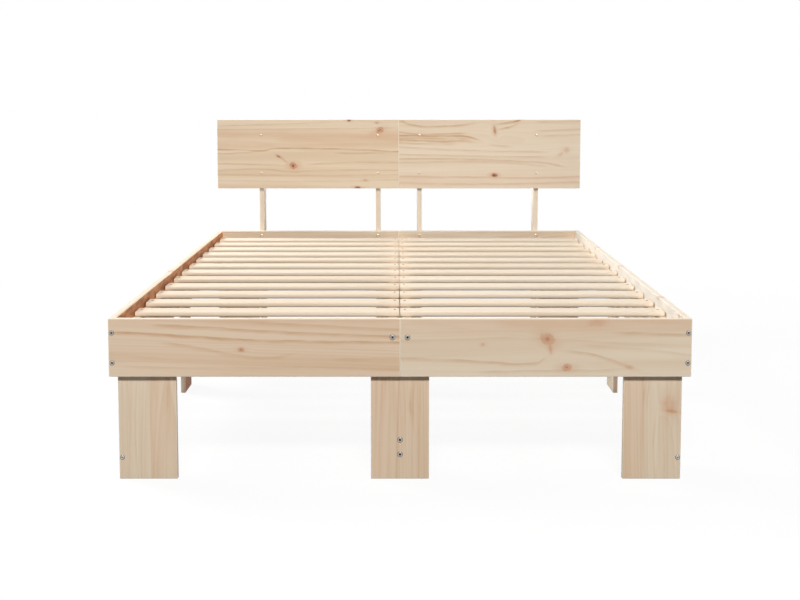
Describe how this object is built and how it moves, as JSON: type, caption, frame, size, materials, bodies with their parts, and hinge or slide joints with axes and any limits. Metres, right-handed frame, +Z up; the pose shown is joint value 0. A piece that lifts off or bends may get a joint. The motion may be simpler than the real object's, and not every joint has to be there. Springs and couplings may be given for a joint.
{
  "type": "double bed",
  "caption": "Knock-down pine double bed frame with a slatted base, split panels, board legs and a plain headboard on posts set edge on behind it.",
  "frame": {"origin": "on the floor, at the middle of the bed's overall width and length", "axes": "+X to the right seen from the foot end, +Y from foot to head, +Z up"},
  "size_m": [1.436, 2.118, 0.85],
  "materials": {
    "panel_pine": "clear lacquered pine, grain along the board",
    "leg_pine": "clear lacquered pine, grain upright",
    "post_pine": "clear lacquered pine, grain upright",
    "slat_pine": "planed pale pine, unfinished",
    "batten_pine": "planed pine, unfinished",
    "screw_steel": "zinc plated"
  },
  "bodies": {
    "root": {"centre_leg": "leg_pine", "centre_strip_left_foot": "batten_pine", "centre_strip_left_head": "batten_pine", "centre_strip_right_foot": "batten_pine", "centre_strip_right_head": "batten_pine", "corner_leg_left_foot_face": "leg_pine", "corner_leg_left_foot_side": "leg_pine", "corner_leg_left_head_face": "leg_pine", "corner_leg_left_head_side": "leg_pine", "corner_leg_right_foot_face": "leg_pine", "corner_leg_right_foot_side": "leg_pine", "corner_leg_right_head_face": "leg_pine", "corner_leg_right_head_side": "leg_pine", "corner_leg_screws": "screw_steel", "foot_panel_left": "panel_pine", "foot_panel_right": "panel_pine", "head_rail_left": "panel_pine", "head_rail_right": "panel_pine", "headboard_left": "panel_pine", "headboard_right": "panel_pine", "headboard_screws": "screw_steel", "ledger_left_foot": "batten_pine", "ledger_left_head": "batten_pine", "ledger_right_foot": "batten_pine", "ledger_right_head": "batten_pine", "ledger_screws": "screw_steel", "leg_fixing_screws": "screw_steel", "middle_leg_foot_face": "leg_pine", "middle_leg_foot_web": "leg_pine", "middle_leg_head_face": "leg_pine", "middle_leg_head_web": "leg_pine", "middle_leg_screws": "screw_steel", "middle_side_leg_left": "leg_pine", "middle_side_leg_right": "leg_pine", "post_left_inner": "post_pine", "post_left_outer": "post_pine", "post_right_inner": "post_pine", "post_right_outer": "post_pine", "post_screws": "screw_steel", "rail_screws": "screw_steel", "side_rail_left_foot": "panel_pine", "side_rail_left_head": "panel_pine", "side_rail_right_foot": "panel_pine", "side_rail_right_head": "panel_pine", "slat_row_01": "slat_pine", "slat_row_02": "slat_pine", "slat_row_03": "slat_pine", "slat_row_04": "slat_pine", "slat_row_05": "slat_pine", "slat_row_06": "slat_pine", "slat_row_07": "slat_pine", "slat_row_08": "slat_pine", "slat_row_09": "slat_pine", "slat_row_10": "slat_pine", "slat_row_11": "slat_pine", "slat_row_12": "slat_pine", "slat_row_13": "slat_pine", "strip_screws": "screw_steel", "web_screws": "screw_steel"}
  },
  "joints": []
}
